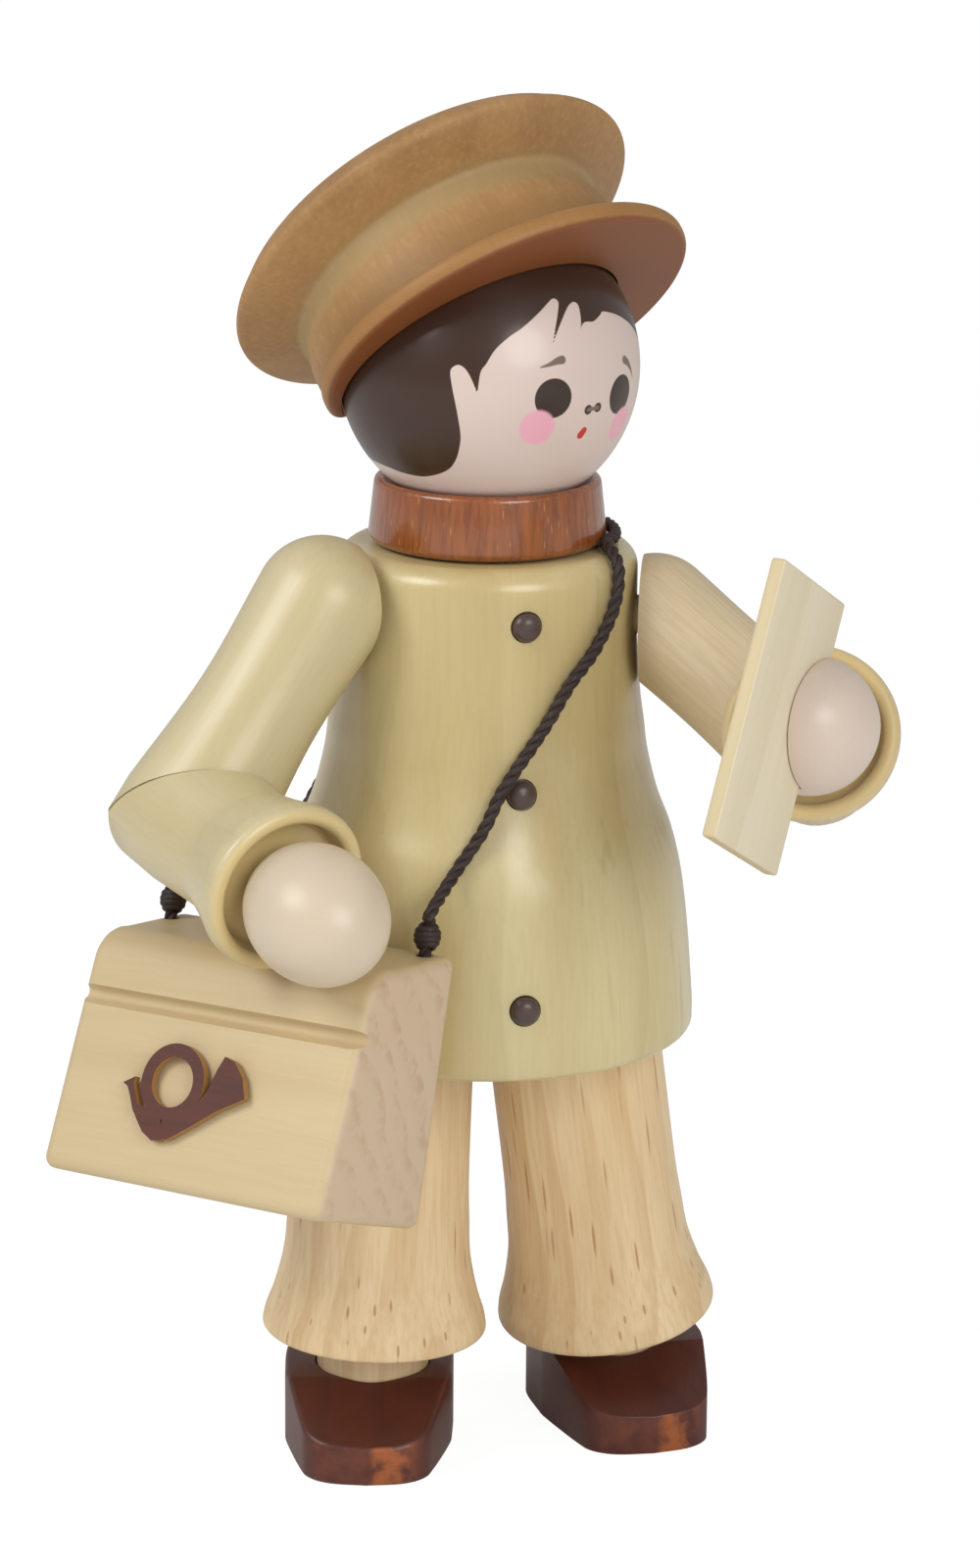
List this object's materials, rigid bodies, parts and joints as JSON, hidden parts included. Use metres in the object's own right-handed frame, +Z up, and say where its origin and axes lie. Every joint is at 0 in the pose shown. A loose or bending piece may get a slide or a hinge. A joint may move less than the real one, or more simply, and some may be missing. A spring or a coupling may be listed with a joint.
{
  "type": "wooden figurine",
  "caption": "Small turned wooden figurine of a postman in a peaked cap, with turning head and arms, a letter in one hand and a corded satchel.",
  "frame": {"origin": "middle of the figurine's box at floor level, on the surface that its soles stand on", "axes": "+Z up, -Y the way the figure's front looks, +X to the figure's left"},
  "size_m": [0.039, 0.0378, 0.0652],
  "materials": {
    "maple_lacquer": "satin clear lacquer",
    "coat_lacquer": "satin tinted lacquer",
    "beech": "satin clear lacquer",
    "collar_stain": "reddish stain under lacquer",
    "cap_wood": "satin clear lacquer",
    "brim_wood": "brown stain",
    "skin_paint": "opaque satin paint",
    "hand_wood": "satin clear lacquer",
    "letter_wood": "bare, sanded",
    "satchel_wood": "satin clear lacquer",
    "horn_wood": "brown stain, matte",
    "shoe_wood": "dark red-brown stain, satin",
    "button_brown": "brown paint, satin",
    "cord_brown": "waxed",
    "peg_wood": "bare"
  },
  "bodies": {
    "figure": {"coat": "coat_lacquer", "collar": "collar_stain", "right_trouser_leg": "beech", "left_trouser_leg": "beech", "right_shoe": "shoe_wood", "left_shoe": "shoe_wood", "button_top": "button_brown", "button_middle": "button_brown", "button_bottom": "button_brown", "satchel": "satchel_wood", "horn_ornament": "horn_wood", "satchel_cord": "cord_brown", "strap_knot_front": "cord_brown", "strap_knot_rear": "cord_brown"},
    "head": {"head": "skin_paint", "neck_peg": "peg_wood", "cap_crown": "cap_wood", "cap_brim": "brim_wood"},
    "right_arm": {"right_upper_arm": "maple_lacquer", "right_sleeve": "maple_lacquer", "right_shoulder_peg": "peg_wood", "right_hand": "hand_wood"},
    "left_arm": {"left_upper_arm": "maple_lacquer", "left_sleeve": "maple_lacquer", "left_shoulder_peg": "peg_wood", "left_hand": "hand_wood", "letter": "letter_wood"}
  },
  "joints": [
    {"name": "head_turn", "type": "hinge", "parent": "figure", "child": "head", "pos_m": [0.00245, 0.0065, 0.05265], "axis": [0, 0, 1], "continuous": true},
    {"name": "right_arm_turn", "type": "hinge", "parent": "figure", "child": "right_arm", "pos_m": [-0.00599, 0.0036, 0.0424], "axis": [-0.9455, -0.3256, 0], "range_deg": [0, 280]},
    {"name": "left_arm_turn", "type": "hinge", "parent": "figure", "child": "left_arm", "pos_m": [0.00992, 0.00393, 0.04106], "axis": [0.9455, -0.3256, 0], "continuous": true}
  ]
}
